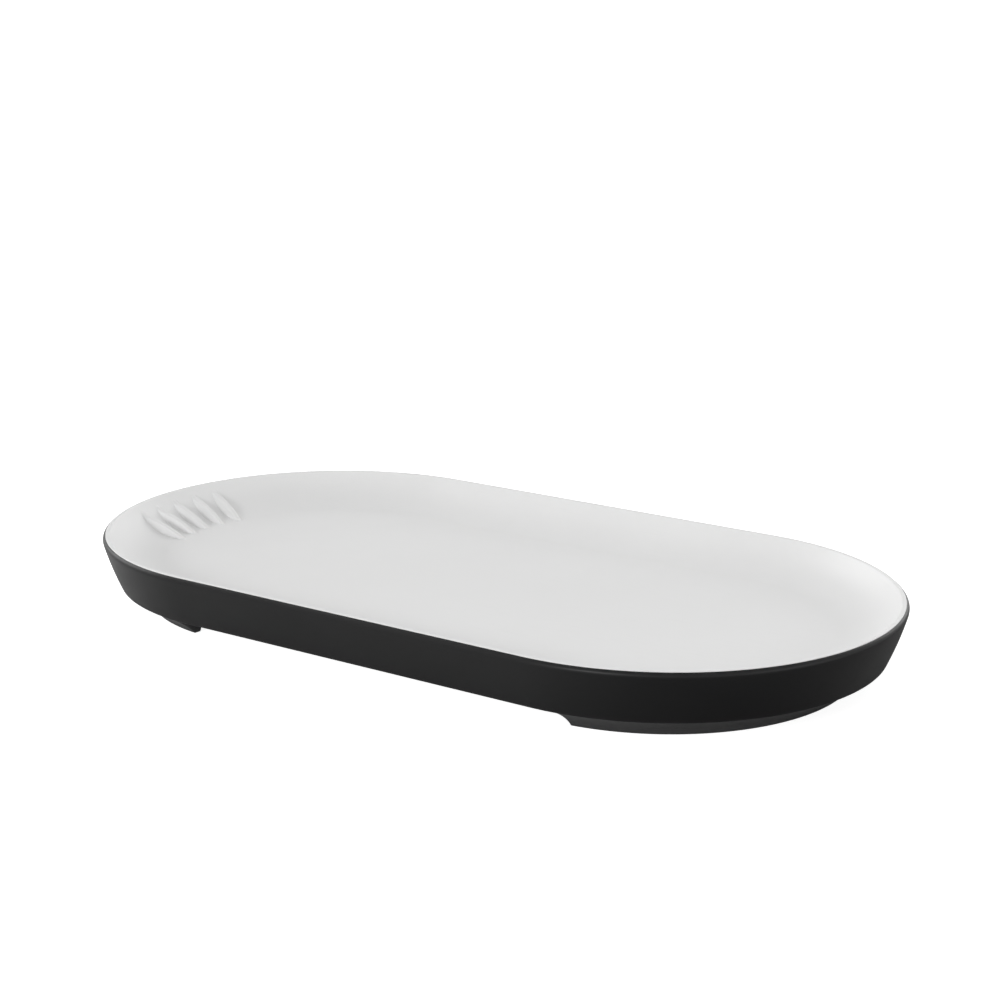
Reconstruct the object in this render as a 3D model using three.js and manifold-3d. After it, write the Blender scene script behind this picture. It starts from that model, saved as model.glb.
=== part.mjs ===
// Oval serving platter: a white ribbed dish nested in a black shell that stands on two curved feet.
// Millimetres, +Z up, X along the platter. The origin is under the middle, on the table.
import * as THREE from "three";
import { mergeVertices } from "three/addons/utils/BufferGeometryUtils.js";
import Module from "manifold-3d";

const wasm = await Module();
wasm.setup();

// Plan: straight sides and half-round ends, measured at the widest line of the rim
const LENGTH = 340;
const WIDTH = 182.8;

// Heights, stacked from the table to the rim
const FOOT_HEIGHT = 8.5;
const SHELL_FLOOR = 3.8;
const DISH_FLOOR = 3.65;
const DISH_DEPTH = 12.75;

// Bond line between the pieces, the same between dish and shell and round a foot's tongue
const BOND_GAP = 0.2;

// Shell: a leaning wall whose draft grows from the rim down to the base, with a rounded rim edge that
// ends a little below the land of the dish
const SHELL_WALL = 1;
const RIM_DRAFT = 15.5;
const BASE_DRAFT = 24.2;
const RIM_EDGE_RADIUS = 1.8;
const RIM_LIP = 0.3;
const BASE_EDGE_RADIUS = 0.6;
const SHELL_CORNER_RADIUS = 1.5;

// Dish: a flat land on the rim, then one hollow curve down to a flat floor
const RIM_LAND = 1.4;
const RIM_LAND_OUTER_RADIUS = 0.25;
const RIM_LAND_INNER_RADIUS = 0.8;
const FLOOR_INSET = 25;

// Ribs: fins on spokes of one end, with straight crests that bridge the hollow and die out at both ends
const RIB_COUNT = 5;
const RIB_PITCH = 7.5;
const RIB_WIDTH = 3;
const RIB_EDGE_RADIUS = 0.9;
const RIB_DRAFT = 8;
const RIB_TOP_DEPTH = 4;
const RIB_TOE_REACH = 0.5;
const RIB_BITE = 0.8;

// Feet: a half ring under each end, with a flat tread, a tongue on top and a hollow outer face whose
// slant shrinks from the top down to the tread
const FOOT_SETBACK = 0.3;
const FOOT_TOP_SLANT = 62.5;
const FOOT_TREAD_SLANT = 40;
const FOOT_TREAD = 3;
const FOOT_INNER_DRAFT = 15;
const FOOT_EDGE_RADIUS = 0.8;
const FOOT_SPAN = 166.4;
const TONGUE_WIDTH = 8;
const TONGUE_HEIGHT = 1.6;
const TONGUE_END_MARGIN = 5;

// Fineness of the round stretches
const END_STEPS = 30;
const WALL_STEPS = 5;
const EDGE_STEPS = 4;
const COVE_STEPS = 12;
const MERGE_REACH = 1e-4;

// Sizes worked out from the ones above
const rad = THREE.MathUtils.degToRad;
const endRadius = WIDTH / 2;
const endCentre = LENGTH / 2 - endRadius;
const shellFloorTop = FOOT_HEIGHT + SHELL_FLOOR;
const dishBase = shellFloorTop + BOND_GAP;
const dishFloorTop = dishBase + DISH_FLOOR;
const rimTop = dishFloorTop + DISH_DEPTH;

// Where the rounded rim edge leaves the leaning wall, and the angle at which it ends over the wall
const rimDraft = rad(RIM_DRAFT);
const wallTopInset = RIM_EDGE_RADIUS * (1 - Math.cos(rimDraft));
const rimEndAngle = Math.acos(1 - (wallTopInset + SHELL_WALL) / RIM_EDGE_RADIUS);
const rimEdgeMiddle = rimTop - RIM_LIP - RIM_EDGE_RADIUS * Math.sin(rimEndAngle);
const wallTop = rimEdgeMiddle - RIM_EDGE_RADIUS * Math.sin(rimDraft);

// The hollow curve is one arc, level where it meets the floor and as steep as it gets at the land
const landInset = wallTopInset + SHELL_WALL + BOND_GAP + RIM_LAND;
const coveWidth = FLOOR_INSET - landInset;
const coveRadius = (coveWidth ** 2 + DISH_DEPTH ** 2) / (2 * DISH_DEPTH);
const coveTurn = Math.asin(coveWidth / coveRadius);

const shellMaterial = new THREE.MeshStandardMaterial({ color: 0x141415, roughness: 0.42, metalness: 0 });
const dishMaterial = new THREE.MeshStandardMaterial({ color: 0xe2e2df, roughness: 0.45, metalness: 0 });
const footMaterial = new THREE.MeshStandardMaterial({ color: 0x1a1a1b, roughness: 0.5, metalness: 0 });

// A point of a section: how far it lies inside the widest line of the rim, and its height
function at(inset, z) {
  return new THREE.Vector2(inset, z);
}

// How far the shell's outside lies inside the rim line at a height: upright above the rim edge's tangent
function wallInset(z) {
  const drop = Math.max(0, wallTop - z);
  const growth = (Math.tan(rad(BASE_DRAFT)) - Math.tan(rimDraft)) / (2 * (wallTop - FOOT_HEIGHT));
  return wallTopInset + Math.tan(rimDraft) * drop + growth * drop * drop;
}

// The leaning wall as a run of points from one height to another, moved inwards by an offset
function wallRun(fromZ, toZ, offset) {
  return Array.from({ length: WALL_STEPS + 1 }, (_, k) => {
    const z = THREE.MathUtils.lerp(fromZ, toZ, k / WALL_STEPS);
    return at(wallInset(z) + offset, z);
  });
}

// An arc that takes the place of a corner, no longer than half of either side of the corner
function roundCorner(before, corner, after, radius, steps) {
  const back = before.clone().sub(corner);
  const on = after.clone().sub(corner);
  const most = Math.min(back.length(), on.length()) / 2;
  back.normalize();
  on.normalize();
  const halfAngle = Math.acos(THREE.MathUtils.clamp(back.dot(on), -1, 1)) / 2;
  const reach = Math.min(radius / Math.tan(halfAngle), most);
  const start = corner.clone().addScaledVector(back, reach);
  const end = corner.clone().addScaledVector(on, reach);
  const inwards = back.clone().add(on).normalize();
  const centre = corner.clone().addScaledVector(inwards, reach / Math.cos(halfAngle));
  const from = start.clone().sub(centre);
  const turn = Math.atan2(from.cross(end.clone().sub(centre)), from.dot(end.clone().sub(centre)));
  return Array.from({ length: steps + 1 }, (_, k) =>
    from.clone().rotateAround(new THREE.Vector2(), (turn * k) / steps).add(centre),
  );
}

// One ring of points round the platter's plan, anticlockwise from the front of the right end
function planRing(point) {
  const ring = [];
  for (const side of [1, -1]) {
    for (let k = 0; k <= END_STEPS; k++) {
      const angle = Math.PI * (k / END_STEPS - 0.5);
      const reach = side * (endRadius - point.x);
      ring.push(side * endCentre + reach * Math.cos(angle), reach * Math.sin(angle), point.y);
    }
  }
  return ring;
}

// A closed body whose section goes round the plan: the first ring is closed from below, the last from above
function planSweep(section) {
  const ringSize = 2 * (END_STEPS + 1);
  const faces = [];
  for (let row = 0; row < section.length - 1; row++) {
    for (let k = 0; k < ringSize; k++) {
      const low = row * ringSize;
      const next = (k + 1) % ringSize;
      faces.push(low + k, low + next, low + ringSize + next);
      faces.push(low + k, low + ringSize + next, low + ringSize + k);
    }
  }
  const lastRing = (section.length - 1) * ringSize;
  for (let k = 0; k < END_STEPS; k++) {
    const far = ringSize - 1 - k;
    faces.push(k, far - 1, k + 1, k, far, far - 1);
    faces.push(lastRing + k, lastRing + k + 1, lastRing + far - 1);
    faces.push(lastRing + k, lastRing + far - 1, lastRing + far);
  }
  return bodyOf(section.flatMap(planRing), faces);
}

// A closed body through rings of points that repeat one outline, with the outline's faces at both ends
function loft(outline, rings) {
  const count = outline.length;
  const faces = [];
  for (let k = 0; k < rings.length - 1; k++) {
    for (let j = 0; j < count; j++) {
      const a = k * count + j;
      const b = k * count + ((j + 1) % count);
      faces.push(a, b + count, b, a, a + count, b + count);
    }
  }
  const last = (rings.length - 1) * count;
  for (const [a, b, c] of THREE.ShapeUtils.triangulateShape(outline, [])) {
    faces.push(a, b, c, last + a, last + c, last + b);
  }
  return bodyOf(rings.flat(), faces);
}

// A closed body made by turning a section, given as radius and height, through part of a circle about Z
function arcSweep(section, span) {
  const outline = THREE.ShapeUtils.isClockWise(section) ? section.slice().reverse() : section;
  const rings = Array.from({ length: END_STEPS + 1 }, (_, k) => {
    const angle = span * (k / END_STEPS - 0.5);
    return outline.flatMap((p) => [p.x * Math.cos(angle), p.x * Math.sin(angle), p.y]);
  });
  return loft(outline, rings);
}

function bodyOf(points, faces) {
  const geometry = new THREE.BufferGeometry();
  geometry.setAttribute("position", new THREE.Float32BufferAttribute(points, 3));
  geometry.setIndex(faces);
  return geometry;
}

// To and from the solids that can be joined and cut
function solidOf(geometry) {
  const bare = geometry.clone();
  bare.deleteAttribute("normal");
  bare.deleteAttribute("uv");
  const merged = mergeVertices(bare, MERGE_REACH);
  const mesh = new wasm.Mesh({
    numProp: 3,
    vertProperties: new Float32Array(merged.getAttribute("position").array),
    triVerts: new Uint32Array(merged.getIndex().array),
  });
  return new wasm.Manifold(mesh);
}

function geometryOf(solid) {
  const mesh = solid.getMesh();
  return bodyOf(Array.from(mesh.vertProperties), Array.from(mesh.triVerts));
}

// The shell's section, from the underside round the base edge, up the wall, over the rim and down inside
function shellSection() {
  const base = at(wallInset(FOOT_HEIGHT), FOOT_HEIGHT);
  const outside = wallRun(FOOT_HEIGHT, wallTop, 0);
  const rimEdge = Array.from({ length: EDGE_STEPS + 1 }, (_, k) => {
    const angle = THREE.MathUtils.lerp(-rimDraft, rimEndAngle, k / EDGE_STEPS);
    const inset = RIM_EDGE_RADIUS * (1 - Math.cos(angle));
    return at(inset, rimEdgeMiddle + RIM_EDGE_RADIUS * Math.sin(angle));
  });
  const inside = wallRun(wallTop, shellFloorTop, SHELL_WALL);
  const corner = inside[WALL_STEPS];
  const underMiddle = at(endRadius, FOOT_HEIGHT);
  const floorMiddle = at(endRadius, shellFloorTop);
  return [
    ...roundCorner(underMiddle, base, outside[1], BASE_EDGE_RADIUS, EDGE_STEPS),
    ...outside.slice(1, WALL_STEPS),
    ...rimEdge,
    ...inside.slice(0, WALL_STEPS),
    ...roundCorner(inside[WALL_STEPS - 1], corner, floorMiddle, SHELL_CORNER_RADIUS, EDGE_STEPS),
  ];
}

// The dish's outside, which follows the shell's inside at the bond gap, from its underside to its rim
function dishOutside() {
  const wall = wallRun(dishBase, wallTop, SHELL_WALL + BOND_GAP);
  const underMiddle = at(endRadius, dishBase);
  const rim = at(landInset - RIM_LAND, rimTop);
  const land = at(landInset, rimTop);
  return [
    ...roundCorner(underMiddle, wall[0], wall[1], SHELL_CORNER_RADIUS, EDGE_STEPS),
    ...wall.slice(1),
    ...roundCorner(wall[WALL_STEPS], rim, land, RIM_LAND_OUTER_RADIUS, EDGE_STEPS),
  ];
}

// The dish's inside, from the rounded edge of the land down the hollow curve to the edge of the floor
function dishInside() {
  const cove = Array.from({ length: COVE_STEPS + 1 }, (_, k) => {
    const slope = coveTurn * (1 - k / COVE_STEPS);
    const rise = coveRadius * (1 - Math.cos(slope));
    return at(FLOOR_INSET - coveRadius * Math.sin(slope), dishFloorTop + rise);
  });
  const rim = at(landInset - RIM_LAND, rimTop);
  const landEdge = roundCorner(rim, cove[0], cove[1], RIM_LAND_INNER_RADIUS, EDGE_STEPS);
  return [...landEdge, ...cove.slice(1)];
}

// A rib's cross-section, given as the way across it and the height over its crest
function ribSection(depth) {
  const half = RIB_WIDTH / 2;
  const rootHalf = half + depth * Math.tan(rad(RIB_DRAFT));
  const root = [at(-rootHalf, -depth), at(rootHalf, -depth)];
  const crest = [at(half, 0), at(-half, 0)];
  return [
    ...root,
    ...roundCorner(root[1], crest[0], crest[1], RIB_EDGE_RADIUS, EDGE_STEPS),
    ...roundCorner(crest[0], crest[1], root[0], RIB_EDGE_RADIUS, EDGE_STEPS),
  ];
}

// One rib on a spoke, wider towards the rim. Its crest runs straight from the hollow down to the floor,
// and its body reaches into the dish under the hollow and past both ends of the crest
function ribFin(turn) {
  const rise = DISH_DEPTH - RIB_TOP_DEPTH;
  const topReach = Math.sqrt(2 * coveRadius * rise - rise ** 2);
  const top = at(endRadius - FLOOR_INSET + topReach, dishFloorTop + rise);
  const toe = at(endRadius - FLOOR_INSET - RIB_TOE_REACH, dishFloorTop);
  const middle = top.clone().add(toe).divideScalar(2);
  const run = top.clone().sub(toe);
  const along = run.clone().normalize();
  const depth = coveRadius - Math.sqrt(coveRadius ** 2 - run.lengthSq() / 4) + RIB_BITE;
  const section = ribSection(depth);
  const ends = [
    toe.clone().addScaledVector(along, -RIB_BITE),
    top.clone().addScaledVector(along, RIB_BITE),
  ];
  const rings = ends.map((end) =>
    section.flatMap((p) => [
      along.y * p.y - end.x,
      (p.x * end.x) / middle.x,
      end.y + along.x * p.y,
    ]),
  );
  const fin = loft(section, rings);
  fin.rotateZ(turn);
  fin.translate(-endCentre, 0, 0);
  return solidOf(fin);
}

function makeDish() {
  const outside = dishOutside();
  const envelope = solidOf(planSweep(outside));
  let dish = solidOf(planSweep([...outside, ...dishInside()]));
  for (let k = 0; k < RIB_COUNT; k++) {
    const turn = rad(RIB_PITCH) * (k - (RIB_COUNT - 1) / 2);
    dish = dish.add(ribFin(turn).intersect(envelope));
  }
  return geometryOf(dish);
}

// Radii of the foot's section about the centre of the platter's round end
const footTop = FOOT_HEIGHT - BOND_GAP;
const footTopRadius = endRadius - wallInset(FOOT_HEIGHT) - FOOT_SETBACK;
const topSlope = Math.tan(rad(FOOT_TOP_SLANT));
const treadSlope = Math.tan(rad(FOOT_TREAD_SLANT));
const treadOuterRadius = footTopRadius - (footTop * (topSlope + treadSlope)) / 2;
const treadInnerRadius = treadOuterRadius - FOOT_TREAD;
const footInnerRadius = treadInnerRadius - footTop * Math.tan(rad(FOOT_INNER_DRAFT));
const tongueMiddle = (footTopRadius + footInnerRadius) / 2;

// The hollow outer face, from its top down to the tread
function footFace() {
  return Array.from({ length: WALL_STEPS + 1 }, (_, k) => {
    const z = footTop * (1 - k / WALL_STEPS);
    const flare = ((topSlope - treadSlope) * z * z) / (2 * footTop);
    return at(treadOuterRadius + treadSlope * z + flare, z);
  });
}

function makeFoot() {
  const face = footFace();
  const treadOuter = face[WALL_STEPS];
  const treadInner = at(treadInnerRadius, 0);
  const innerTop = at(footInnerRadius, footTop);
  const block = arcSweep(
    [
      ...face.slice(0, WALL_STEPS),
      ...roundCorner(face[WALL_STEPS - 1], treadOuter, treadInner, FOOT_EDGE_RADIUS, EDGE_STEPS),
      ...roundCorner(treadOuter, treadInner, innerTop, FOOT_EDGE_RADIUS, EDGE_STEPS),
      innerTop,
    ],
    rad(FOOT_SPAN),
  );
  const tongue = tongueBody(0, footTop + TONGUE_HEIGHT);
  return geometryOf(solidOf(block).add(solidOf(tongue)));
}

// The tongue on a foot, or with the bond gap round it the groove in the shell that it sits in
function tongueBody(gap, top) {
  const half = TONGUE_WIDTH / 2 + gap;
  const bottom = footTop - TONGUE_HEIGHT;
  const endMargin = (TONGUE_END_MARGIN - gap) / tongueMiddle;
  return arcSweep(
    [
      at(tongueMiddle - half, bottom),
      at(tongueMiddle + half, bottom),
      at(tongueMiddle + half, top),
      at(tongueMiddle - half, top),
    ],
    rad(FOOT_SPAN) - 2 * endMargin,
  );
}

function makeShell() {
  let shell = solidOf(planSweep(shellSection()));
  for (const turn of [0, Math.PI]) {
    const groove = tongueBody(BOND_GAP, footTop + TONGUE_HEIGHT + BOND_GAP);
    groove.translate(endCentre, 0, 0);
    groove.rotateZ(turn);
    shell = shell.subtract(solidOf(groove));
  }
  return geometryOf(shell);
}

function named(name, geometry, material) {
  const mesh = new THREE.Mesh(geometry, material);
  mesh.name = name;
  mesh.geometry.computeVertexNormals();
  return mesh;
}

const platter = new THREE.Group();
platter.add(named("outer_shell", makeShell(), shellMaterial));
platter.add(named("inner_dish", makeDish(), dishMaterial));

const footRight = named("foot_right", makeFoot(), footMaterial);
footRight.position.x = endCentre;
platter.add(footRight);

const footLeft = named("foot_left", makeFoot(), footMaterial);
footLeft.position.x = -endCentre;
footLeft.rotation.z = Math.PI;
platter.add(footLeft);

export default platter;
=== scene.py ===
# Oval serving platter: a satin white dish, ribbed at one end, nested in a satin black shell that
# stands on two curved feet. Metres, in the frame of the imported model, X along the platter, +Z up.
import math

import bpy
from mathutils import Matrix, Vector


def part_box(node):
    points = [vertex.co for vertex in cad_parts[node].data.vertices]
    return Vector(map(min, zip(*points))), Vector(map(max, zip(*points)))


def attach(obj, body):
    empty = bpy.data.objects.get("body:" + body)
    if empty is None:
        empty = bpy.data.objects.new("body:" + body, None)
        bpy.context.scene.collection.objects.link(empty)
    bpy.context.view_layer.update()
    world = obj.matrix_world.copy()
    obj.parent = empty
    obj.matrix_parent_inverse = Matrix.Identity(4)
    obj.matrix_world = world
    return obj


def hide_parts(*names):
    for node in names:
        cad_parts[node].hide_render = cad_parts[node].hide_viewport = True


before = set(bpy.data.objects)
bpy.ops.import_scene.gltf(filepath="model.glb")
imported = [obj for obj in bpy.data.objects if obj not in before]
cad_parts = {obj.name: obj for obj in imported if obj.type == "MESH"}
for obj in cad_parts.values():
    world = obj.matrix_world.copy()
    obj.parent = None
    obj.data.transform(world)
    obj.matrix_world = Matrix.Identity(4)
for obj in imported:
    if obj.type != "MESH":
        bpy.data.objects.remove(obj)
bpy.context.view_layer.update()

# Plan and heights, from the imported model
shell_low, shell_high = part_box("outer_shell")
dish_low, dish_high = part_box("inner_dish")
end_radius = shell_high.y
end_centre = shell_high.x - end_radius
foot_height = shell_low.z
rim_top = dish_high.z
dish_base = dish_low.z

# Shell: a leaning wall whose draft grows from the rim down to the base, with a rounded rim edge that
# ends a little below the land of the dish
SHELL_WALL = 0.0010
SHELL_FLOOR = 0.0038
RIM_DRAFT = math.radians(15.5)
BASE_DRAFT = math.radians(24.2)
RIM_EDGE_RADIUS = 0.0018
RIM_LIP = 0.0003
BASE_EDGE_RADIUS = 0.0006
SHELL_CORNER_RADIUS = 0.0015

# Dish: a flat land on the rim, then one long hollow curve down to a flat floor. The bond between the
# dish and the shell shows as a fine seam
BOND_GAP = 0.0002
SEAM = 0.00004
DISH_DEPTH = 0.01275
RIM_LAND = 0.0014
RIM_LAND_OUTER_RADIUS = 0.00025
RIM_LAND_INNER_RADIUS = 0.0008
FLOOR_INSET = 0.0250

# Ribs: fins on spokes of the left end, with slightly crowned crests that bridge the hollow and die out
# at both ends, rounded on top and at the root
RIB_COUNT = 5
RIB_PITCH = math.radians(7.5)
RIB_WIDTH = 0.0027
RIB_EDGE_RADIUS = 0.0010
RIB_DRAFT = math.radians(16)
RIB_ROOT = 0.0011
RIB_TOP_DEPTH = 0.0035
RIB_CROWN = 0.0010

# Feet: a half ring under each end, with a flat tread and a hollow outer face whose slant shrinks from
# the top down to the tread. The top sits in the shell's underside
FOOT_SETBACK = 0.0003
FOOT_TOP_SLANT = math.radians(62.5)
FOOT_TREAD_SLANT = math.radians(40)
FOOT_TREAD = 0.003
FOOT_INNER_DRAFT = math.radians(15)
FOOT_EDGE_RADIUS = 0.0008
FOOT_SPAN = math.radians(166.4)
FOOT_END_BEVEL = 0.0004
FOOT_SEAT = 0.0001

# Fineness of the round stretches
END_STEPS = 96
RIB_TOP_STEPS = 2
RIB_FLANK_STEPS = 20
RIB_FLANK_WIDTH = 0.0027
VALLEY_STEPS = 5
WALL_STEPS = 16
EDGE_STEPS = 8
COVE_STEPS = 72
FOOT_STEPS = 120
BEVEL_STEPS = 3
MERGE_REACH = 1e-5

dish_floor_top = rim_top - DISH_DEPTH
shell_floor_top = foot_height + SHELL_FLOOR
wall_top_inset = RIM_EDGE_RADIUS * (1 - math.cos(RIM_DRAFT))
rim_end_angle = math.acos(1 - (wall_top_inset + SHELL_WALL) / RIM_EDGE_RADIUS)
rim_edge_middle = rim_top - RIM_LIP - RIM_EDGE_RADIUS * math.sin(rim_end_angle)
wall_top = rim_edge_middle - RIM_EDGE_RADIUS * math.sin(RIM_DRAFT)

land_inset = wall_top_inset + SHELL_WALL + BOND_GAP + RIM_LAND
cove_width = FLOOR_INSET - land_inset
cove_radius = (cove_width ** 2 + DISH_DEPTH ** 2) / (2 * DISH_DEPTH)

rib_middle_radius = end_radius - (FLOOR_INSET + land_inset) / 2
rib_end_inset = FLOOR_INSET + RIB_WIDTH


# Sections: a point is (how far it lies inside the widest line of the rim, its height)

def section_point(inset, z):
    return Vector((inset, z))


def wall_inset(z):
    """How far the shell's outside lies inside the rim line at a height."""
    drop = max(0.0, wall_top - z)
    growth = (math.tan(BASE_DRAFT) - math.tan(RIM_DRAFT)) / (2 * (wall_top - foot_height))
    return wall_top_inset + math.tan(RIM_DRAFT) * drop + growth * drop * drop


def wall_run(from_z, to_z, offset):
    heights = [from_z + (to_z - from_z) * k / WALL_STEPS for k in range(WALL_STEPS + 1)]
    return [section_point(wall_inset(z) + offset, z) for z in heights]


def straight_run(start, end, steps):
    """The points strictly between two section points."""
    return [start.lerp(end, k / steps) for k in range(1, steps)]


def round_corner(before, corner, after, radius, steps):
    """An arc in place of a corner, no longer than half of either side of the corner."""
    back = before - corner
    on = after - corner
    most = min(back.length, on.length) / 2
    back.normalize()
    on.normalize()
    half_angle = math.acos(max(-1.0, min(1.0, back.dot(on)))) / 2
    reach = min(radius / math.tan(half_angle), most)
    start = corner + back * reach
    end = corner + on * reach
    centre = corner + (back + on).normalized() * (reach / math.cos(half_angle))
    first = start - centre
    last = end - centre
    turn = math.atan2(first.x * last.y - first.y * last.x, first.dot(last))
    arc = []
    for k in range(steps + 1):
        angle = turn * k / steps
        c, s = math.cos(angle), math.sin(angle)
        arc.append(centre + Vector((first.x * c - first.y * s, first.x * s + first.y * c)))
    return arc


def shell_section():
    """From the middle of the underside round the base, up the wall, over the rim and down inside."""
    base = section_point(wall_inset(foot_height), foot_height)
    outside = wall_run(foot_height, wall_top, 0)
    rim_edge = []
    for k in range(EDGE_STEPS + 1):
        angle = -RIM_DRAFT + (rim_end_angle + RIM_DRAFT) * k / EDGE_STEPS
        rim_edge.append(section_point(
            RIM_EDGE_RADIUS * (1 - math.cos(angle)),
            rim_edge_middle + RIM_EDGE_RADIUS * math.sin(angle),
        ))
    inside = wall_run(wall_top, shell_floor_top, SHELL_WALL)
    under_middle = section_point(end_radius, foot_height)
    floor_middle = section_point(end_radius, shell_floor_top)
    return [
        under_middle,
        *round_corner(under_middle, base, outside[1], BASE_EDGE_RADIUS, EDGE_STEPS),
        *outside[1:-1],
        *rim_edge,
        *inside[:-1],
        *round_corner(inside[-2], inside[-1], floor_middle, SHELL_CORNER_RADIUS, EDGE_STEPS),
        floor_middle,
    ]


def cove_inset(z):
    """How far the hollow curve lies inside the rim line at a height."""
    rise = z - dish_floor_top
    return FLOOR_INSET - math.sqrt(max(0.0, 2 * cove_radius * rise - rise * rise))


def cove_run():
    """The hollow curve from the land down to the edge of the floor."""
    steepest = math.acos(1 - DISH_DEPTH / cove_radius)
    run = []
    for k in range(COVE_STEPS + 1):
        slope = steepest * (1 - k / COVE_STEPS)
        run.append(section_point(
            FLOOR_INSET - cove_radius * math.sin(slope),
            dish_floor_top + cove_radius * (1 - math.cos(slope)),
        ))
    return run


def dish_section():
    """From the middle of the underside up the outside, over the land and down to the floor."""
    wall = wall_run(dish_base, wall_top, SHELL_WALL + SEAM)
    rim = section_point(wall[-1].x, rim_top)
    cove = cove_run()
    under_middle = section_point(end_radius, dish_base)
    floor_middle = section_point(end_radius, dish_floor_top)
    rib_end = section_point(rib_end_inset, dish_floor_top)
    below_land = [p for p in cove if rim_top - p.y > RIM_LAND_INNER_RADIUS]
    return [
        under_middle,
        *round_corner(under_middle, wall[0], wall[1], SHELL_CORNER_RADIUS, EDGE_STEPS),
        *wall[1:],
        *round_corner(wall[-1], rim, cove[0], RIM_LAND_OUTER_RADIUS, EDGE_STEPS),
        *round_corner(rim, cove[0], below_land[0], RIM_LAND_INNER_RADIUS, EDGE_STEPS),
        *below_land,
        *straight_run(cove[-1], rib_end, EDGE_STEPS),
        rib_end,
        floor_middle,
    ]


def tread_inset():
    """How far the outer edge of a tread lies inside the rim line."""
    slopes = math.tan(FOOT_TOP_SLANT) + math.tan(FOOT_TREAD_SLANT)
    return wall_inset(foot_height) + FOOT_SETBACK + foot_height * slopes / 2


def foot_section():
    """The foot's outline about the round end's centre, given as (radius, height)."""
    top_slope = math.tan(FOOT_TOP_SLANT)
    tread_slope = math.tan(FOOT_TREAD_SLANT)
    top_radius = end_radius - wall_inset(foot_height) - FOOT_SETBACK
    tread_radius = end_radius - tread_inset()
    face = []
    for k in range(WALL_STEPS + 1):
        z = foot_height * (1 - k / WALL_STEPS)
        flare = (top_slope - tread_slope) * z * z / (2 * foot_height)
        face.append(section_point(tread_radius + tread_slope * z + flare, z))
    tread_inner = section_point(tread_radius - FOOT_TREAD, 0)
    inner_rise = foot_height + FOOT_SEAT
    inner_top = tread_inner + section_point(-inner_rise * math.tan(FOOT_INNER_DRAFT), inner_rise)
    return [
        section_point(top_radius, inner_rise),
        *face[:-1],
        *round_corner(face[-2], face[-1], tread_inner, FOOT_EDGE_RADIUS, EDGE_STEPS),
        *round_corner(face[-1], tread_inner, inner_top, FOOT_EDGE_RADIUS, EDGE_STEPS),
        inner_top,
    ]


# Modelling steps

def start_piece(name, first):
    """A new piece in edit mode, with one vertex."""
    bpy.ops.object.select_all(action="DESELECT")
    bpy.ops.mesh.primitive_plane_add(size=end_radius)
    piece = bpy.context.object
    piece.name = name
    piece.data.name = name
    bpy.ops.object.mode_set(mode="EDIT")
    bpy.ops.mesh.select_all(action="SELECT")
    bpy.ops.mesh.merge(type="CENTER")
    bpy.ops.transform.translate(value=first)
    return piece


def draw_line(points):
    """Extrudes the selected vertex from point to point."""
    for here, there in zip(points, points[1:]):
        bpy.ops.mesh.extrude_vertices_move(TRANSFORM_OT_translate={"value": there - here})


def close_mesh():
    bpy.ops.mesh.select_all(action="SELECT")
    bpy.ops.mesh.remove_doubles(threshold=MERGE_REACH)
    bpy.ops.mesh.normals_make_consistent(inside=False)
    bpy.ops.object.mode_set(mode="OBJECT")


def spin_about(x, angle, steps):
    bpy.ops.mesh.spin(steps=steps, angle=-angle, center=(x, 0, 0), axis=(0, 0, 1))


def sweep_round_plan(name, section, left_stretches):
    """Draws a section at the front of the right end and takes it once round the platter's plan."""
    points = [Vector((end_centre, p.x - end_radius, p.y)) for p in section]
    piece = start_piece(name, points[0])
    draw_line(points)
    bpy.ops.mesh.select_all(action="SELECT")
    spin_about(end_centre, math.pi, END_STEPS)
    side = Vector((2 * end_centre, 0, 0))
    bpy.ops.mesh.extrude_edges_move(TRANSFORM_OT_translate={"value": -side})
    for angle, steps in left_stretches:
        spin_about(-end_centre, angle, steps)
    bpy.ops.mesh.extrude_edges_move(TRANSFORM_OT_translate={"value": side})
    close_mesh()
    return piece


def rib_columns():
    """Turns and steps round the left end: close columns on the ribs' flanks, wide ones elsewhere."""
    top = (RIB_WIDTH / 2 - RIB_EDGE_RADIUS) / rib_middle_radius
    flank = RIB_FLANK_WIDTH / rib_middle_radius
    valley = RIB_PITCH / 2 - top - flank
    half_rib = [(valley, VALLEY_STEPS), (flank, RIB_FLANK_STEPS), (top, RIB_TOP_STEPS)]
    side = (math.pi - RIB_COUNT * RIB_PITCH) / 2
    side_columns = (side, round(END_STEPS * side / math.pi))
    return [side_columns, *(half_rib + half_rib[::-1]) * RIB_COUNT, side_columns]


def rib_shoulder(across):
    """How far the rib's surface lies below its crest line, at a distance from its middle plane."""
    over = max(0.0, across - (RIB_WIDTH / 2 - RIB_EDGE_RADIUS))
    bend = RIB_EDGE_RADIUS * math.cos(RIB_DRAFT)
    if over <= bend:
        return RIB_EDGE_RADIUS - math.sqrt(RIB_EDGE_RADIUS ** 2 - over ** 2)
    return RIB_EDGE_RADIUS * (1 - math.sin(RIB_DRAFT)) + (over - bend) / math.tan(RIB_DRAFT)


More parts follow.
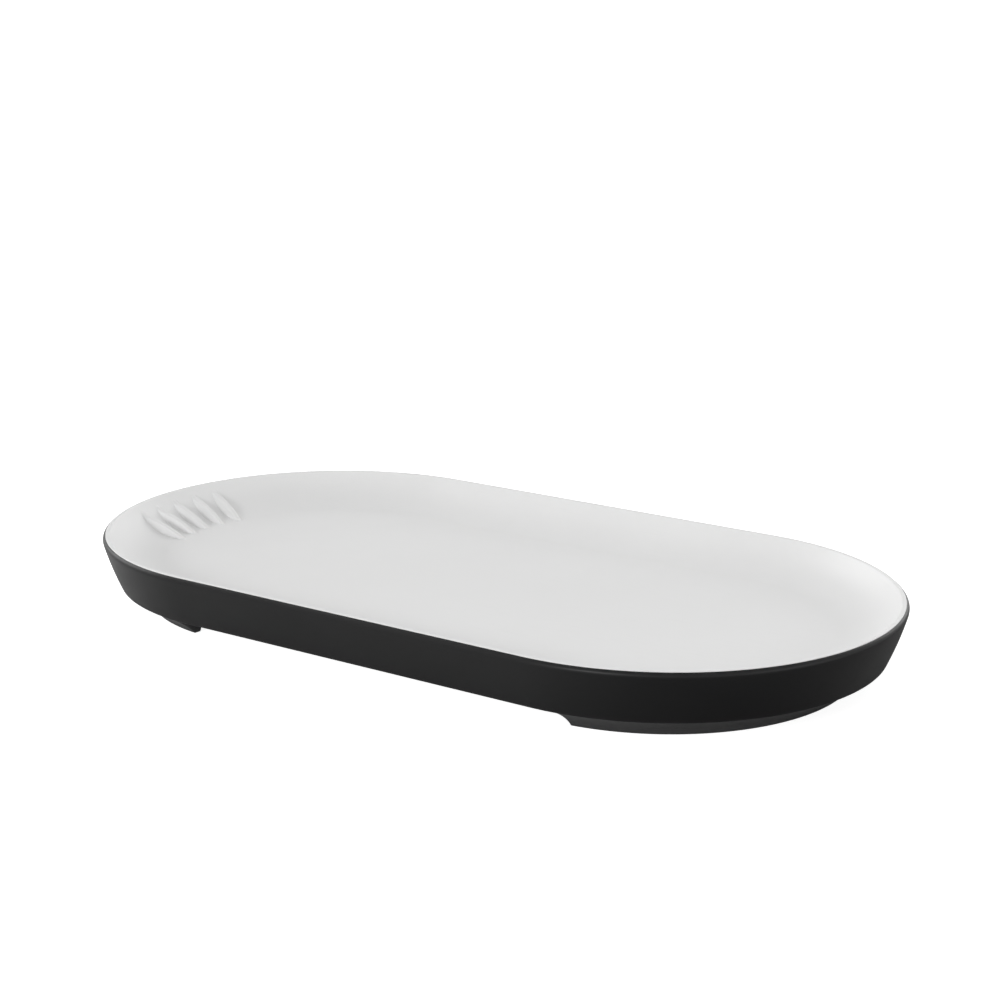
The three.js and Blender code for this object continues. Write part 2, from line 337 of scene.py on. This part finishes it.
def rib_rise(co):
    """How far the ribs lift a point of the dish: their spokes narrow towards the end's centre."""
    radius = math.hypot(co.x + end_centre, co.y)
    inset = end_radius - radius
    outside = co.x > -end_centre or co.z < dish_floor_top - MERGE_REACH
    if outside or not land_inset < inset < rib_end_inset + MERGE_REACH:
        return 0.0
    turn = math.atan2(co.y, -co.x - end_centre)
    last = (RIB_COUNT - 1) / 2
    place = max(-last, min(last, round(turn / RIB_PITCH + last) - last))
    across = abs(turn - place * RIB_PITCH) * rib_middle_radius
    top = rim_top - RIB_TOP_DEPTH
    share = (FLOOR_INSET - inset) / (FLOOR_INSET - cove_inset(top))
    crown = RIB_CROWN * 4 * max(0.0, share * (1 - share))
    crest = dish_floor_top + (top - dish_floor_top) * share + crown
    over = crest - rib_shoulder(across) - co.z
    fillet = max(RIB_ROOT - abs(over), 0.0) ** 2 / (4 * RIB_ROOT)
    return max(over, 0.0) + fillet


def raise_ribs(dish):
    """Lifts the ribs out of the hollow with a weighted displacement."""
    rises = [rib_rise(vertex.co) for vertex in dish.data.vertices]
    most = max(rises)
    ribs = dish.vertex_groups.new(name="ribs")
    for index, rise in enumerate(rises):
        if rise > 0:
            ribs.add([index], rise / most, "REPLACE")
    lift = dish.modifiers.new("ribs", "DISPLACE")
    lift.direction = "Z"
    lift.mid_level = 0
    lift.strength = most
    lift.vertex_group = ribs.name
    bpy.ops.object.modifier_apply(modifier=lift.name)
    dish.vertex_groups.clear()


def bevel_ends(foot):
    """Softens the sharp edges round both end faces of a foot that stands at the right end."""
    bpy.ops.object.mode_set(mode="EDIT")
    bpy.ops.mesh.select_mode(type="EDGE")
    bpy.ops.mesh.select_all(action="DESELECT")
    bpy.ops.object.mode_set(mode="OBJECT")
    vertices = foot.data.vertices
    on_end = []
    for vertex in vertices:
        turn = math.atan2(abs(vertex.co.y), vertex.co.x - end_centre)
        on_end.append(abs(turn - FOOT_SPAN / 2) < FOOT_SPAN / FOOT_STEPS / 2)
    for edge in foot.data.edges:
        edge.select = all(on_end[k] for k in edge.vertices)
    bpy.ops.object.mode_set(mode="EDIT")
    bpy.ops.mesh.bevel(offset=FOOT_END_BEVEL, segments=BEVEL_STEPS)
    bpy.ops.mesh.select_mode(type="VERT")
    bpy.ops.object.mode_set(mode="OBJECT")


def make_foot(name, left):
    half = FOOT_SPAN / 2

    def placed(p):
        return Vector((end_centre + p.x * math.cos(half), -p.x * math.sin(half), p.y))

    points = [placed(p) for p in foot_section()]
    foot = start_piece(name, points[0])
    draw_line(points)
    bpy.ops.mesh.select_all(action="SELECT")
    bpy.ops.mesh.edge_face_add()
    spin_about(end_centre, FOOT_SPAN, FOOT_STEPS)
    close_mesh()
    bevel_ends(foot)
    if left:
        bpy.ops.object.mode_set(mode="EDIT")
        bpy.ops.mesh.select_all(action="SELECT")
        bpy.ops.transform.rotate(value=math.pi, orient_axis="Z", center_override=(0, 0, 0))
        bpy.ops.object.mode_set(mode="OBJECT")
    return foot


# Materials: shared effects first, then the three finishes

def add_node(tree, kind, values, **settings):
    """A node with its settings, and values for the inputs that nothing is linked to."""
    node = tree.nodes.new(kind)
    for name, setting in settings.items():
        setattr(node, name, setting)
    for name, value in values.items():
        node.inputs[name].default_value = value
    return node


def add_range(tree, source, low, high, to_low, to_high):
    """Takes a value from one range to another, held at both ends."""
    values = {"From Min": low, "From Max": high, "To Min": to_low, "To Max": to_high}
    node = add_node(tree, "ShaderNodeMapRange", values)
    tree.links.new(source, node.inputs["Value"])
    return node.outputs["Result"]


def add_math(tree, operation, first, second):
    """One sum on two values, each a link or a number."""
    node = add_node(tree, "ShaderNodeMath", {}, operation=operation)
    for socket, value in zip(node.inputs, (first, second)):
        if isinstance(value, (int, float)):
            socket.default_value = value
        else:
            tree.links.new(value, socket)
    return node.outputs["Value"]


def add_length(tree, first, second):
    """How far away a point lies that is this far off in two directions."""
    squares = [add_math(tree, "MULTIPLY", value, value) for value in (first, second)]
    return add_math(tree, "SQRT", add_math(tree, "ADD", *squares), 0)


def add_noise(tree, place, scale, detail):
    """A cloudy noise. The scale is a number or a link."""
    node = add_node(tree, "ShaderNodeTexNoise", {"Detail": detail})
    tree.links.new(place, node.inputs["Vector"])
    if isinstance(scale, (int, float)):
        node.inputs["Scale"].default_value = scale
    else:
        tree.links.new(scale, node.inputs["Scale"])
    return node.outputs["Fac"]


def add_blend(tree, factor, first, second):
    """A colour between two colours, each a link or a plain colour."""
    node = tree.nodes.new("ShaderNodeMixRGB")
    tree.links.new(factor, node.inputs["Fac"])
    for name, colour in (("Color1", first), ("Color2", second)):
        if isinstance(colour, tuple):
            node.inputs[name].default_value = (*colour, 1)
        else:
            tree.links.new(colour, node.inputs[name])
    return node.outputs["Color"]


def start_effect(name, numbers, results):
    """A node group that takes a place and some numbers, and gives values that vary over the surface."""
    tree = bpy.data.node_groups.new(name, "ShaderNodeTree")
    tree.interface.new_socket("Place", in_out="INPUT", socket_type="NodeSocketVector")
    for number in numbers:
        tree.interface.new_socket(number, in_out="INPUT", socket_type="NodeSocketFloat")
    for result in results:
        tree.interface.new_socket(result, in_out="OUTPUT", socket_type="NodeSocketFloat")
    given = tree.nodes.new("NodeGroupInput").outputs
    made = tree.nodes.new("NodeGroupOutput").inputs
    return tree, given, made


def moulded_skin():
    """The fine grain of a satin mould, and slow clouds in the tone of the moulding."""
    tree, given, made = start_effect("moulded_skin", ["Grain Scale", "Cloud Scale"], ["Grain", "Clouds"])
    tree.links.new(add_noise(tree, given["Place"], given["Grain Scale"], 2), made["Grain"])
    clouds = add_noise(tree, given["Place"], given["Cloud Scale"], 3)
    tree.links.new(add_range(tree, clouds, 0.3, 0.7, 0, 1), made["Clouds"])
    return tree


def rubbed_edge():
    """A broken band along a line that runs round the plan, where hands and shelves rub an edge."""
    tree, given, made = start_effect("rubbed_edge", ["Inset", "Height", "Reach", "Patch Scale"], ["Rubbed"])
    split = tree.nodes.new("ShaderNodeSeparateXYZ")
    tree.links.new(given["Place"], split.inputs["Vector"])
    along = add_math(tree, "ABSOLUTE", split.outputs["X"], 0)
    past_end = add_math(tree, "MAXIMUM", add_math(tree, "SUBTRACT", along, end_centre), 0)
    inset = add_math(tree, "SUBTRACT", end_radius, add_length(tree, past_end, split.outputs["Y"]))
    inwards = add_math(tree, "SUBTRACT", inset, given["Inset"])
    upwards = add_math(tree, "SUBTRACT", split.outputs["Z"], given["Height"])
    share = add_math(tree, "DIVIDE", add_length(tree, inwards, upwards), given["Reach"])
    band = add_range(tree, share, 0, 1, 1, 0)
    patches = add_noise(tree, given["Place"], given["Patch Scale"], 4)
    broken = add_range(tree, patches, 0.38, 0.62, 0.15, 1)
    tree.links.new(add_math(tree, "MULTIPLY", band, broken), made["Rubbed"])
    return tree


HAIR_TURNS = (0.45, -0.95)
HAIR_STRETCH = (0.02, 1, 1)


def use_marks():
    """Hairline scratches in two ways across each other, in patches, and the smudges of wiping."""
    tree, given, made = start_effect("use_marks", ["Hair Scale", "Smudge Scale"], ["Scratches", "Smudges"])
    hairs = []
    for turn in HAIR_TURNS:
        values = {"Rotation": (0, 0, turn), "Scale": HAIR_STRETCH}
        stretched = add_node(tree, "ShaderNodeMapping", values)
        tree.links.new(given["Place"], stretched.inputs["Vector"])
        noise = add_noise(tree, stretched.outputs["Vector"], given["Hair Scale"], 1)
        hairs.append(add_range(tree, noise, 0.64, 0.72, 0, 1))
    crossed = add_math(tree, "MAXIMUM", *hairs)
    smudges = add_noise(tree, given["Place"], given["Smudge Scale"], 4)
    patches = add_range(tree, smudges, 0.45, 0.62, 0, 1)
    tree.links.new(add_math(tree, "MULTIPLY", crossed, patches), made["Scratches"])
    tree.links.new(add_range(tree, smudges, 0.3, 0.7, 0, 1), made["Smudges"])
    return tree


MOULDED_SKIN = moulded_skin()
RUBBED_EDGE = rubbed_edge()
USE_MARKS = use_marks()


def start_finish(name, specular):
    """A new material, with the place on the piece that its effects read."""
    material = bpy.data.materials.new(name)
    material.use_nodes = True
    tree = material.node_tree
    shader = tree.nodes["Principled BSDF"]
    shader.inputs["Specular IOR Level"].default_value = specular
    return material, tree, shader, tree.nodes.new("ShaderNodeTexCoord").outputs["Object"]


def add_effect(tree, effect, place, **numbers):
    """A shared effect in a material, with its numbers given by the names of its inputs."""
    node = tree.nodes.new("ShaderNodeGroup")
    node.node_tree = effect
    tree.links.new(place, node.inputs["Place"])
    for name, number in numbers.items():
        node.inputs[name.replace("_", " ").title()].default_value = number
    return node.outputs


def finish_surface(tree, shader, colour, roughness, height, depth, strength):
    """Links the varying colour, roughness and relief to the shader."""
    bump = add_node(tree, "ShaderNodeBump", {"Distance": depth, "Strength": strength})
    tree.links.new(height, bump.inputs["Height"])
    tree.links.new(colour, shader.inputs["Base Color"])
    tree.links.new(roughness, shader.inputs["Roughness"])
    tree.links.new(bump.outputs["Normal"], shader.inputs["Normal"])


# Colours of the three finishes, each between a deep and a pale tone, and the depth of their relief
DISH_DEEP = (0.79, 0.79, 0.787)
DISH_PALE = (0.81, 0.811, 0.808)
DISH_SCRATCHED = (0.66, 0.66, 0.65)
DISH_RUBBED = (0.86, 0.86, 0.86)
DISH_SPECULAR = 0.4
DISH_RELIEF = 0.00002
DISH_RELIEF_STRENGTH = 0.25
SHELL_DEEP = (0.0055, 0.0055, 0.0058)
SHELL_PALE = (0.0075, 0.0075, 0.0078)
SHELL_RUBBED = (0.035, 0.035, 0.036)
SHELL_SPECULAR = 0.28
# The feet's two tones are the shell's black painted lighter, a painted reflection of the pale floor
FOOT_DEEP_PAINTED_REFLECTION = (0.052, 0.052, 0.053)
FOOT_PALE_PAINTED_REFLECTION = (0.062, 0.062, 0.063)
FOOT_SCUFFED = (0.11, 0.11, 0.11)
FOOT_SPECULAR = 0.45
BLACK_RELIEF = 0.00003
BLACK_RELIEF_STRENGTH = 0.3


def dish_finish():
    """Satin off-white moulding with faint wiping marks and hairline scratches from serving."""
    material, tree, shader, place = start_finish("dish_white", DISH_SPECULAR)
    skin = add_effect(tree, MOULDED_SKIN, place, grain_scale=1600, cloud_scale=14)
    marks = add_effect(tree, USE_MARKS, place, hair_scale=2600, smudge_scale=26)
    rim = add_effect(
        tree, RUBBED_EDGE, place,
        inset=land_inset - RIM_LAND / 2, height=rim_top, reach=0.0013, patch_scale=160,
    )
    clouded = add_blend(tree, skin["Clouds"], DISH_DEEP, DISH_PALE)
    scratched = add_range(tree, marks["Scratches"], 0, 1, 0, 0.16)
    scored = add_blend(tree, scratched, clouded, DISH_SCRATCHED)
    rubbed = add_range(tree, rim["Rubbed"], 0, 1, 0, 0.25)
    colour = add_blend(tree, rubbed, scored, DISH_RUBBED)
    wiped = add_range(tree, marks["Smudges"], 0, 1, 0.38, 0.46)
    roughness = add_math(tree, "ADD", wiped, add_math(tree, "MULTIPLY", rim["Rubbed"], -0.1))
    cut = add_math(tree, "MULTIPLY", marks["Scratches"], -0.6)
    height = add_math(tree, "ADD", skin["Grain"], cut)
    finish_surface(tree, shader, colour, roughness, height, DISH_RELIEF, DISH_RELIEF_STRENGTH)
    return material


def shell_finish():
    """Satin black moulding, greyer and smoother where its rim and base edges are rubbed."""
    material, tree, shader, place = start_finish("shell_black", SHELL_SPECULAR)
    skin = add_effect(tree, MOULDED_SKIN, place, grain_scale=1300, cloud_scale=20)
    marks = add_effect(tree, USE_MARKS, place, hair_scale=2200, smudge_scale=30)
    rim = add_effect(
        tree, RUBBED_EDGE, place,
        inset=SHELL_WALL / 2, height=rim_top - RIM_LIP, reach=0.0012, patch_scale=140,
    )
    base = add_effect(
        tree, RUBBED_EDGE, place,
        inset=wall_inset(foot_height), height=foot_height, reach=0.0011, patch_scale=120,
    )
    worn = add_math(tree, "MAXIMUM", rim["Rubbed"], base["Rubbed"])
    clouded = add_blend(tree, skin["Clouds"], SHELL_DEEP, SHELL_PALE)
    greyed = add_range(tree, worn, 0, 1, 0, 0.5)
    colour = add_blend(tree, greyed, clouded, SHELL_RUBBED)
    wiped = add_range(tree, marks["Smudges"], 0, 1, 0.39, 0.46)
    roughness = add_math(tree, "ADD", wiped, add_math(tree, "MULTIPLY", worn, -0.07))
    cut = add_math(tree, "MULTIPLY", marks["Scratches"], -0.4)
    height = add_math(tree, "ADD", skin["Grain"], cut)
    finish_surface(tree, shader, colour, roughness, height, BLACK_RELIEF, BLACK_RELIEF_STRENGTH)
    return material


def foot_finish():
    """The shell's black moulding painted greyer, a painted reflection of the pale floor in the feet's
    slanted faces, and scuffed where the tread slides on the table.
    """
    material, tree, shader, place = start_finish("foot_black", FOOT_SPECULAR)
    skin = add_effect(tree, MOULDED_SKIN, place, grain_scale=1300, cloud_scale=30)
    marks = add_effect(tree, USE_MARKS, place, hair_scale=2200, smudge_scale=40)
    tread = add_effect(
        tree, RUBBED_EDGE, place,
        inset=tread_inset() + FOOT_TREAD / 2, height=0, reach=0.0022, patch_scale=220,
    )
    # Clouds between the lighter tones, which are a painted reflection of the floor
    clouded = add_blend(tree, skin["Clouds"], FOOT_DEEP_PAINTED_REFLECTION, FOOT_PALE_PAINTED_REFLECTION)
    scuffed = add_range(tree, tread["Rubbed"], 0, 1, 0, 0.6)
    colour = add_blend(tree, scuffed, clouded, FOOT_SCUFFED)
    wiped = add_range(tree, marks["Smudges"], 0, 1, 0.42, 0.5)
    roughness = add_math(tree, "ADD", wiped, add_math(tree, "MULTIPLY", tread["Rubbed"], 0.15))
    height = add_math(tree, "ADD", skin["Grain"], add_math(tree, "MULTIPLY", tread["Rubbed"], -0.5))
    finish_surface(tree, shader, colour, roughness, height, BLACK_RELIEF, BLACK_RELIEF_STRENGTH)
    return material


dish_white = dish_finish()
shell_black = shell_finish()
foot_black = foot_finish()


# Pieces

inner_dish = sweep_round_plan("inner_dish_moulding", dish_section(), rib_columns())
raise_ribs(inner_dish)
outer_shell = sweep_round_plan("outer_shell_moulding", shell_section(), [(math.pi, END_STEPS)])
foot_right = make_foot("foot_right_moulding", False)
foot_left = make_foot("foot_left_moulding", True)

SMOOTH_ANGLE = math.radians(32)
for piece, node, slot, material in (
    (inner_dish, "inner_dish", "dish_white", dish_white),
    (outer_shell, "outer_shell", "shell_black", shell_black),
    (foot_right, "foot_right", "foot_black", foot_black),
    (foot_left, "foot_left", "foot_black", foot_black),
):
    bpy.ops.object.select_all(action="DESELECT")
    piece.select_set(True)
    bpy.context.view_layer.objects.active = piece
    bpy.ops.object.shade_smooth_by_angle(angle=SMOOTH_ANGLE)
    piece.data.materials.append(material)
    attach(piece, "root")
    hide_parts(node)


# Studio: a table that is pale on the left and greyer on the right, the grey a painted shade that the black
# shell reflects, which the camera sees burnt out to white, a small low light in front, broad ones round the
# rest, and a room brightest at the horizon

TABLE_SIZE = 40
TABLE_PALE = 0.95
TABLE_PAINTED_SHADE = 0.38
TABLE_PALE_X = 0.06
TABLE_PAINTED_SHADE_X = 0.15
TABLE_GLOW = 0.9
TABLE_ROUGHNESS = 0.9
TABLE_SPECULAR = 0.1
ROOM_HORIZON = 1.1
ROOM_TOP = 0.48
ROOM_TOP_HEIGHT = 0.5
SMALL_SPREAD = math.radians(10)
BROAD_SPREAD = math.radians(40)


def direction(azimuth, elevation):
    """Towards two angles in degrees. Azimuth 0 is -Y and 90 is +X."""
    turn, rise = math.radians(azimuth), math.radians(elevation)
    return Vector((
        math.sin(turn) * math.cos(rise),
        -math.cos(turn) * math.cos(rise),
        math.sin(rise),
    ))


def table_finish():
    material, tree, shader, place = start_finish("table_white", TABLE_SPECULAR)
    shader.inputs["Roughness"].default_value = TABLE_ROUGHNESS
    shader.inputs["Emission Color"].default_value = (1, 1, 1, 1)
    split = tree.nodes.new("ShaderNodeSeparateXYZ")
    tree.links.new(place, split.inputs["Vector"])
    # From pale to grey along X: the grey is a painted shade, seen only in the shell's reflections
    tone = add_range(tree, split.outputs["X"], TABLE_PALE_X, TABLE_PAINTED_SHADE_X, TABLE_PALE, TABLE_PAINTED_SHADE)
    tree.links.new(tone, shader.inputs["Base Color"])
    seen = tree.nodes.new("ShaderNodeLightPath")
    glow = add_math(tree, "MULTIPLY", seen.outputs["Is Camera Ray"], TABLE_GLOW)
    tree.links.new(glow, shader.inputs["Emission Strength"])
    return material


def white_room():
    room = bpy.data.worlds.new("room")
    room.use_nodes = True
    tree = room.node_tree
    background = tree.nodes["Background"]
    background.inputs["Color"].default_value = (1, 1, 1, 1)
    heading = tree.nodes.new("ShaderNodeTexCoord")
    split = tree.nodes.new("ShaderNodeSeparateXYZ")
    tree.links.new(heading.outputs["Generated"], split.inputs["Vector"])
    glow = add_range(tree, split.outputs["Z"], 0, ROOM_TOP_HEIGHT, ROOM_HORIZON, ROOM_TOP)
    tree.links.new(glow, background.inputs["Strength"])
    return room


def studio_light(name, azimuth, elevation, spread, strength):
    """A far light that comes from two angles in degrees."""
    light = bpy.data.lights.new(name, "SUN")
    light.energy = strength * math.pi
    light.angle = spread
    lamp = bpy.data.objects.new(name, light)
    lamp.rotation_euler = direction(azimuth, elevation).to_track_quat("Z", "Y").to_euler()
    bpy.context.scene.collection.objects.link(lamp)


bpy.ops.object.select_all(action="DESELECT")
bpy.ops.mesh.primitive_plane_add(size=TABLE_SIZE)
table = bpy.context.object
table.name = "table"
table.data.materials.append(table_finish())

studio_light("front_light", 0, 20, SMALL_SPREAD, 0.27)
studio_light("right_light", 90, 10, BROAD_SPREAD, 0.16)
studio_light("left_light", 270, 25, BROAD_SPREAD, 0.27)
studio_light("back_light", 180, 25, BROAD_SPREAD, 0.19)
studio_light("high_back_light", 210, 45, BROAD_SPREAD, 0.07)
bpy.context.scene.world = white_room()
bpy.context.scene.view_settings.view_transform = "Standard"

# Camera: above the front corner of the plain end, as in the photograph
CAMERA_AZIMUTH = 34.98
CAMERA_ELEVATION = 14.98
CAMERA_DISTANCE = 0.92054
CAMERA_AIM = Vector((-0.04306, 0.07157, rim_top))
CAMERA_LENS = 77.58
CAMERA_SENSOR = 36

camera_data = bpy.data.cameras.new("camera")
camera_data.lens = CAMERA_LENS
camera_data.sensor_width = CAMERA_SENSOR
camera = bpy.data.objects.new("camera", camera_data)
back = direction(CAMERA_AZIMUTH, CAMERA_ELEVATION)
camera.location = CAMERA_AIM + back * CAMERA_DISTANCE
camera.rotation_euler = (-back).to_track_quat("-Z", "Y").to_euler()
bpy.context.scene.collection.objects.link(camera)
bpy.context.scene.camera = camera
